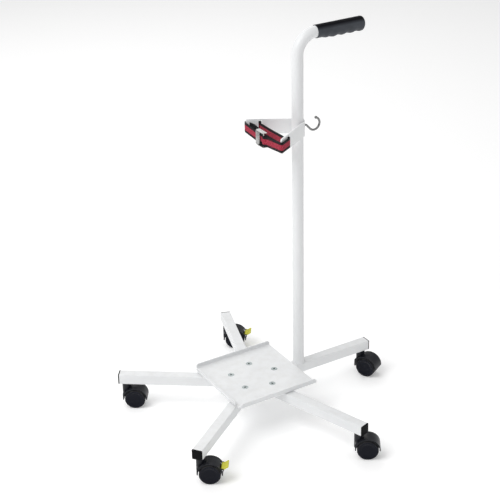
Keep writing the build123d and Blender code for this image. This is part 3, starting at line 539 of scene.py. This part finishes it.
# ---------------------------------------------------------------- weld beads
def weld_bead(route, radius, ripple=1.6 * MM):
    """A round bead along a route: its radius pulses like overlapping drops and closes at each end."""
    route = np.asarray(route)
    gone = np.concatenate([[0], np.cumsum(np.linalg.norm(np.diff(route, axis=0), axis=1))])
    drops = 1 - 0.16 * np.abs(np.sin(pi * gone / ripple)) ** 3
    ends = np.clip(1 - np.abs(2 * gone / gone[-1] - 1) ** 14, 0.0005, 1) ** 0.5
    size = (radius * drops * ends)[:, None, None]
    up = (0, 0, 1) if abs(route[-1, 2] - route[0, 2]) < 1e-6 else (1, 0, 0)
    if np.ptp(route[:, 0]) < 1e-6:
        up = (1, 0, 0)
    return carried(route, circle(14)[None] * size, up)


def joined(surfaces):
    """Several tubes as one list of points and faces."""
    faces, points, start = [], [], 0
    for surface in surfaces:
        faces += tube_faces(surface.shape[0], surface.shape[1], start)
        points.append(surface.reshape(-1, 3))
        start += surface.shape[0] * surface.shape[1]
    return np.concatenate(points), faces


def ring_route(centre, radius, height, middle, reach, count=90):
    angle = np.linspace(middle - reach, middle + reach, count)
    return np.stack(
        [centre.x + radius * np.cos(angle), centre.y + radius * np.sin(angle), np.full(count, height)], axis=1
    )


def add_hub_welds(paint):
    """A bead up each corner between two legs."""
    crotch = LEG_HALF / sin(pi / LEG_COUNT) + 1.9 * MM
    height = np.linspace(hub.z - 24 * MM, hub.z - 0.3 * MM, 70)
    beads = []
    for corner in range(LEG_COUNT):
        angle = (corner + 0.5) * tau / LEG_COUNT
        x = np.full_like(height, hub.x + crotch * cos(angle))
        y = np.full_like(height, hub.y + crotch * sin(angle))
        beads.append(weld_bead(np.stack([x, y, height], axis=1), 2.3 * MM))
    points, faces = joined(beads)
    make_piece("hub_weld_beads", points, faces, paint, "frame", ["hub_welds"], crease=80)


def add_post_weld(paint):
    """Two beads round the foot of the post, along the leg."""
    foot = hub.z + 0.9 * MM
    reach = radians(46)
    beads = [
        weld_bead(ring_route(post_axis, POST_RADIUS + 1.0 * MM, foot, middle, reach), 2.1 * MM)
        for middle in (0, pi)
    ]
    points, faces = joined(beads)
    make_piece("post_weld_beads", points, faces, paint, "frame", ["post_weld"], crease=80)


def add_bracket_weld(paint):
    """A bead over and one under the bracket, on the handle's side of the post."""
    reach = pi / 2 - WING_ANGLE - radians(3)
    levels = (bracket_high.z + 0.3 * MM, bracket_low.z - 0.3 * MM)
    beads = [
        weld_bead(ring_route(post_axis, POST_RADIUS + 1.1 * MM, level, 0, reach), 1.7 * MM)
        for level in levels
    ]
    points, faces = joined(beads)
    make_piece("bracket_weld_beads", points, faces, paint, "frame", ["bracket_weld"], crease=80)


def add_hook_weld(paint):
    """A closed ring of drops round the hook's root."""
    low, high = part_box("hook_weld")
    turns, sides = 64, 12
    angle = np.linspace(0, tau, turns, endpoint=False)
    drops = 1 - 0.12 * np.abs(np.sin(4 * angle)) ** 3
    section = circle(sides)
    spread = 2.9 * MM + section[None, :, 0] * 1.3 * MM * drops[:, None]
    skin = post_axis.x + POST_RADIUS + BRACKET_SHEET + 0.4 * MM
    x = skin + section[None, :, 1] * 1.2 * MM * drops[:, None]
    y = (low.y + high.y) / 2 + spread * np.cos(angle)[:, None]
    z = (low.z + high.z) / 2 + spread * np.sin(angle)[:, None]
    ring = np.stack([x, y, z], axis=-1)
    faces = grid_faces(turns + 1, sides) % (turns * sides)
    make_piece("hook_weld_bead", ring, faces.tolist(), paint, "frame", ["hook_weld"], crease=80)


# ---------------------------------------------------------------- hand grip
def add_grip(material):
    """A turned sleeve: radius = plain sleeve + a finger wave that fades in towards the underside."""
    length = grip_high.x - grip_low.x
    axis_z = grip_high.z - GRIP_RADIUS
    count = 84
    x = np.concatenate([
        [0.0, 0.0, 0.15, 0.5, 1.1],
        np.linspace(2.0, length / MM - 7.5, 200),
        length / MM - 7.5 + 7.5 * np.sin(np.linspace(0.06, 1, 26) * pi / 2),
    ]) * MM
    sleeve = np.full_like(x, SLEEVE_RADIUS)
    sleeve[:5] = [GRIP_BORE, 14.4 * MM, 14.85 * MM, 15.05 * MM, SLEEVE_RADIUS]
    tail = np.clip((x - (length - GRIP_NOSE)) / GRIP_NOSE, 0, 1)
    dome = 1 - 0.62 * (1 - np.sqrt(np.clip(1 - tail ** 2.4, 0, 1)))
    around = np.arange(count) * tau / count
    under = np.clip(-np.sin(around), 0, 1) ** 1.3
    world = x + grip_low.x
    last_ridge = grip_high.x - FINGER_INSET
    wave = 0.5 + 0.5 * np.cos(tau * (last_ridge - world) / FINGER_PITCH)
    started = np.clip((x - 12 * MM) / (20 * MM), 0, 1)
    started = started * started * (3 - 2 * started)
    drop = started * (1.5 * MM + 2.3 * MM * wave ** 0.8)
    radius = sleeve[:, None] + drop[:, None] * under[None, :] * (x > 1.5 * MM)[:, None]
    radius = radius * dome[:, None]
    surface = np.stack([
        np.broadcast_to(world[:, None], radius.shape),
        hub.y + radius * np.cos(around),
        axis_z + radius * np.sin(around),
    ], axis=-1)
    faces = tube_faces(*radius.shape)
    make_piece("hand_grip", surface, faces, material, "frame", ["handle_grip"], crease=60)


# ---------------------------------------------------------------- strap
def wing_point(along, outward, side):
    """A plan point on a wing, as in the bracket: along from the post and outward from mid-sheet."""
    middle = POST_RADIUS + BRACKET_SHEET / 2 + outward
    x = post_axis.x + middle * sin(WING_ANGLE) - along * cos(WING_ANGLE)
    y = middle * cos(WING_ANGLE) + along * sin(WING_ANGLE)
    return x, post_axis.y + side * y


def web_outline(route_length, thickness=WEB_THICKNESS, width=WEB_WIDTH):
    """The web's section at each length: a flat lens whose faces carry ribs across the weave.

    Half thickness is t/2 sqrt(1 - |v|^8); the ribs add WEB_RELIEF sin(along) sin(across).
    """
    v = np.linspace(-1, 1, 41)
    there = np.concatenate([v, v[-2:0:-1]])
    face = np.concatenate([np.ones(41), -np.ones(39)])
    half = thickness / 2 * np.sqrt(1 - np.abs(there) ** 8)
    weft = np.sin(tau * route_length[:, None] / WEB_RIB)
    rib = weft * np.sin(there[None, :] * width / 2 * tau / (1.8 * MM))
    n = face[None, :] * (half[None, :] + WEB_RELIEF * rib * (1 - np.abs(there[None, :]) ** 8))
    z = np.broadcast_to(there * width / 2, n.shape)
    return np.stack([n, z], axis=-1), there


def add_web(name, points, material, replaced=()):
    """One length of webbing along smooth points, with its weave map in millimetres."""
    route, gone = smooth_route(points, 0.4 * MM)
    outline, there = web_outline(gone)
    surface = carried(route, outline)
    weave = np.stack(np.broadcast_arrays(gone[:, None] / MM, there[None, :] * WEB_WIDTH / 2 / MM), axis=-1)
    faces = tube_faces(surface.shape[0], surface.shape[1])
    make_piece(name, surface, faces, material, "frame", replaced, weave=weave, crease=70)


strap_front_x = strap_low.x + 0.8 * MM
strap_middle_z = (strap_low.z + strap_high.z) / 2


def front_height(y):
    """How the front run hangs: level at the wings' ends and lowest at the buckle."""
    reach = strap_high.y - post_axis.y
    return strap_middle_z - BUCKLE_SAG * (1 - min(1, abs(y - post_axis.y) / reach) ** 1.6)


def side_points(side, bulge):
    """Plan points from the front run round one wing's end, along its face and through its slot."""
    level = strap_middle_z
    wing = WING_LENGTH
    skin = BRACKET_SHEET / 2 + 1.2 * MM
    front_corner = wing_point(wing + 1.5 * MM, skin + 1.4 * MM, side)
    points = [
        (strap_front_x, wing_point(wing, 0, side)[1] - side * 9 * MM, level - 1.0 * MM),
        (strap_front_x - 0.4 * MM, wing_point(wing, 0, side)[1] - side * 1.0 * MM, level - 0.5 * MM),
        (front_corner[0] - 0.6 * MM, front_corner[1] + side * 0.6 * MM, level),
        (*wing_point(wing - 7 * MM, skin + 0.9 * MM + bulge * 0.5, side), level),
        (*wing_point(wing - 22 * MM, skin + 0.4 * MM + bulge, side), level),
        (*wing_point(SLOT_START + SLOT_WIDTH + 1.0 * MM, skin + 0.6 * MM + bulge, side), level),
        (*wing_point(SLOT_START + 1.2 * MM, skin + 0.9 * MM + bulge, side), level),
        (*wing_point(SLOT_START + 2.6 * MM, 0.0, side), level),
        (*wing_point(SLOT_START + 6.0 * MM, -4.6 * MM, side), level),
    ]
    return points


def rear_points():
    """The rear run between the slots, a little slack in its middle."""
    left, right = side_points(1, 0)[-1], side_points(-1, 0)[-1]
    spots = []
    for share in (0.12, 0.35, 0.5, 0.65, 0.88):
        x = left[0] + (right[0] - left[0]) * share
        y = left[1] + (right[1] - left[1]) * share
        slack = sin(pi * share)
        spots.append((x + 2.0 * MM * slack, y, strap_middle_z - 2.5 * MM * slack))
    return spots


def add_strap(striped, plain):
    """The long run: from the buckle's bar, right, round both wings and back under the cam, and its tail."""
    bar_low, bar_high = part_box("buckle_frame")
    bar_y = bar_low.y + 4 * MM
    sewn = [
        (1.75, -34), (1.75, -20), (1.3, -9), (-0.25, -3), (-0.25, 2.75), (-5.75, 2.75),
        (-5.75, -3.2), (-1.0, -9), (0.05, -16), (0, -34),
    ]
    start = [(strap_front_x + x * MM, bar_y + y * MM, front_height(bar_y + y * MM)) for x, y in sewn]
    right = side_points(-1, 1.6 * MM)
    left = side_points(1, 0.4 * MM)
    cam_y = bar_high.y
    finish_run = [
        (strap_front_x, post_axis.y + 50 * MM, front_height(post_axis.y + 50 * MM)),
        (strap_front_x, cam_y + 8 * MM, front_height(cam_y)),
        (strap_front_x, cam_y - 8 * MM, front_height(cam_y - 12 * MM)),
        (strap_front_x, cam_y - 14 * MM, front_height(cam_y - 14 * MM)),
        (strap_front_x + 0.6 * MM, cam_y - 19.0 * MM, front_height(cam_y - 18 * MM)),
        (strap_front_x + 4.2 * MM, cam_y - 19.2 * MM, front_height(cam_y - 18 * MM)),
        (strap_front_x + 4.9 * MM, cam_y - 13 * MM, front_height(cam_y - 13 * MM) + 0.5 * MM),
    ]
    whole_run = start + right + rear_points()[::-1] + left[::-1] + finish_run
    add_web("strap_webbing", whole_run, striped, ["strap"])
    tail = [
        finish_run[-1],
        (strap_front_x + 5.2 * MM, cam_y - 4 * MM, front_height(cam_y) + 1.6 * MM),
        (strap_front_x + 9.0 * MM, cam_y + 14 * MM, front_height(cam_y) + 3.6 * MM),
        (strap_front_x + 9.0 * MM, cam_y + 32 * MM, strap_middle_z + 1.6 * MM),
        (strap_front_x + 5.5 * MM, cam_y + 46 * MM, strap_middle_z + 1.2 * MM),
    ]
    add_web("strap_tail", tail, plain)


def add_stitches(material):
    """Box stitching through the sewn end: small lens-shaped stitches in a box and its diagonals."""
    bar_low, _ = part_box("buckle_frame")
    left, right = bar_low.y - 11 * MM, bar_low.y - 28 * MM
    reach = 8.5 * MM
    corners = [(left, reach), (right, reach), (right, -reach), (left, -reach)]
    runs = [(corners[i], corners[(i + 1) % 4]) for i in range(4)]
    runs += [(corners[0], corners[2]), (corners[1], corners[3])]
    stitch = circle(8)
    stations = np.linspace(-1, 1, 7)
    shape = np.sqrt(1 - stations ** 2 * 0.98)
    surfaces = []
    for first, last in runs:
        first, last = np.array(first), np.array(last)
        span = np.linalg.norm(last - first)
        heading = (last - first) / span
        for place in np.arange(1.4 * MM, span - 1.0 * MM, 2.9 * MM):
            middle = first + heading * place
            y = middle[0] + heading[0] * stations * 1.1 * MM
            z = front_height(middle[0]) + middle[1] + heading[1] * stations * 1.1 * MM
            x = np.full_like(y, strap_front_x - WEB_THICKNESS / 2 - 0.05 * MM)
            line = np.stack([x, y, z], axis=1)
            surfaces.append(carried(line, stitch[None] * (0.28 * MM * shape)[:, None, None], up=(1, 0, 0)))
    points, faces = joined(surfaces)
    make_piece("strap_stitching", points, faces, material, "frame", crease=80)


# ---------------------------------------------------------------- buckle lever and brake treads
def add_buckle_lever(material):
    """The cam and its thumb tab: a toothed round whose back runs out into a lipped plate."""
    joint = joints["buckle_cam_hinge"]
    low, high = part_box("buckle_lever")
    pin = Vector(joint["pos_m"])
    angle = np.linspace(radians(-200), radians(75), 120)
    teeth = 0.3 * MM * np.abs(np.sin(angle * 9))
    facing = np.cos(angle) > -0.35
    radius = 3.35 * MM - teeth * facing
    cam = np.stack([radius * np.cos(angle), radius * np.sin(angle)], axis=1)
    tab_x, tab_end = low.x - pin.x, high.y - pin.y
    tab = np.array([
        (tab_x + 2.2 * MM, 4.2 * MM),
        (tab_x + 2.0 * MM, tab_end - 2.6 * MM),
        (tab_x + 2.7 * MM, tab_end - 1.2 * MM),
        (tab_x + 2.5 * MM, tab_end - 0.2 * MM),
        (tab_x + 1.4 * MM, tab_end),
        (tab_x + 0.4 * MM, tab_end - 1.0 * MM),
        (tab_x + 0.05 * MM, tab_end - 3.0 * MM),
        (tab_x + 0.05 * MM, 3.0 * MM),
    ])
    outline = np.concatenate([cam, tab])
    middle = outline.mean(axis=0)
    layers = middle + (outline[None] - middle) * np.array([0.95, 1, 1, 0.95])[:, None, None]
    height = np.array([low.z + 0.05 * MM, low.z + 0.4 * MM, high.z - 0.4 * MM, high.z - 0.05 * MM])
    plan = layers + np.array([pin.x, pin.y])
    level = np.broadcast_to(height[:, None, None], (4, len(outline), 1))
    points = np.concatenate([plan, level], axis=-1)
    make_piece("buckle_cam_lever", points, tube_faces(4, len(outline)), material, "buckle_cam",
               ["buckle_lever"], crease=35)


def add_brake_ribs(number, material):
    """Three low half-round ribs across the foot of a brake lever."""
    joint = joints[f"castor_{number}_brake_hinge"]
    pivot, side = np.array(joint["pos_m"]), np.array(joint["axis"])
    trail = np.cross(side, (0, 0, 1))
    out = trail * cos(BRAKE_TILT) + np.array((0, 0, 1)) * sin(BRAKE_TILT)
    up = np.cross(out, side) * -1
    up = up if up[2] > 0 else -up
    surfaces = []
    for place in (5.8, 8.2, 10.6):
        reach = np.linspace(-1, 1, 24)
        ends = np.sqrt(np.clip(1 - reach ** 12, 0.0008, 1))
        middle = pivot + out * place * MM + up * 1.45 * MM
        line = middle[None] + side[None] * (reach * 10.4 * MM)[:, None]
        surfaces.append(carried(line, circle(12)[None] * (0.62 * MM * ends)[:, None, None]))
    points, faces = joined(surfaces)
    castor = f"castor_{number}_brake"
    make_piece(f"{castor}_ribs", points, faces, material, castor)


# ---------------------------------------------------------------- floor
def add_floor(material):
    """A flat disc of studio paper, wide enough to fill every view from above."""
    rings = np.concatenate([[0.001], np.geomspace(0.5, 40, 24)])
    angle = np.arange(96) * tau / 96
    x = hub.x + rings[:, None] * np.cos(angle)
    y = hub.y + rings[:, None] * np.sin(angle)
    points = np.stack([x, y, np.full_like(x, cad_low.z - 0.0002)], axis=-1)
    faces = grid_faces(*x.shape).tolist() + [list(range(96))[::-1]]
    mesh = bpy.data.meshes.new("floor")
    mesh.from_pydata(points.reshape(-1, 3).tolist(), [], faces)
    mesh.materials.append(material)
    floor = bpy.data.objects.new("floor", mesh)
    bpy.context.scene.collection.objects.link(floor)


# ---------------------------------------------------------------- build
add_camera()
add_world(0.52)
add_softbox("key", side_angle=60, elevation=50, distance=3.2, size=2.2, power=60)
add_softbox("back", side_angle=165, elevation=40, distance=3.6, size=2.2, power=26)
add_softbox("fill", side_angle=-65, elevation=25, distance=3.6, size=2.2, power=7)
add_floor(floor_material())

COAT = ((0.80, 0.81, 0.815), (0.77, 0.78, 0.79), (0.62, 0.62, 0.62))
leg_coat = powder_coat("leg coat", *COAT, 0.38)
tray_coat = powder_coat("tray coat", *COAT, 0.42)
post_coat = powder_coat("post coat", *COAT, 0.34, dust=0.1)
weld_coat = powder_coat("weld coat", *COAT, 0.36, dust=0.1)
zinc = plated_steel("zinc plate", (0.37, 0.41, 0.41), (0.24, 0.27, 0.27), 0.36, 0.5)
bright_steel = plated_steel("bright steel", (0.62, 0.62, 0.62), (0.42, 0.42, 0.42), 0.30)
nickel = plated_steel("nickel plate", (0.44, 0.44, 0.43), (0.18, 0.18, 0.18), 0.24, 0.6)
hook_plate = plated_steel("hook plate", (0.26, 0.26, 0.26), (0.12, 0.12, 0.12), 0.26)
cap_plastic = moulded_plastic("cap plastic", (0.004, 0.004, 0.005), (0.04, 0.04, 0.04), 0.55, shine=0.06)
hood_plastic = moulded_plastic("castor hood", (0.010, 0.011, 0.015), (0.08, 0.085, 0.095), 0.36, shine=0.22)
brake_plastic = moulded_plastic("brake yellow", (0.62, 0.60, 0.06), (0.80, 0.78, 0.40), 0.4, 900.0, 0.00003)
striped = webbing_material("striped webbing", True)
thread = moulded_plastic("sewing thread", (0.30, 0.02, 0.04), (0.5, 0.1, 0.1), 0.7, 2600.0, 0.00004)

dress(leg_coat, *(f"leg_{number}" for number in castors))
dress(tray_coat, "tray")
dress(post_coat, "post", "strap_bracket")
dress(cap_plastic, "leg_end_caps")
dress(zinc, "tray_screws", "tray_weld_nuts", "stem_weld_nuts")
dress(bright_steel, "castor_stems", "stem_rings")
dress(nickel, "buckle_frame", "buckle_pin")
dress(hook_plate, "hook")
for number in castors:
    dress(hood_plastic, f"castor_{number}_hood")
    dress(bright_steel, f"castor_{number}_axle")
    wheel = castor_wheel_material(number)
    dress(wheel, f"castor_{number}_wheel_left", f"castor_{number}_wheel_right")
for number in braked_castors:
    dress(brake_plastic, f"castor_{number}_brake_lever")
    dress(bright_steel, f"castor_{number}_brake_pin")
    add_brake_ribs(number, brake_plastic)

add_hub_welds(weld_coat)
add_post_weld(weld_coat)
add_bracket_weld(weld_coat)
add_hook_weld(weld_coat)
add_grip(grip_material())
add_strap(striped, webbing_material("plain webbing", False))
add_stitches(thread)
add_buckle_lever(nickel)
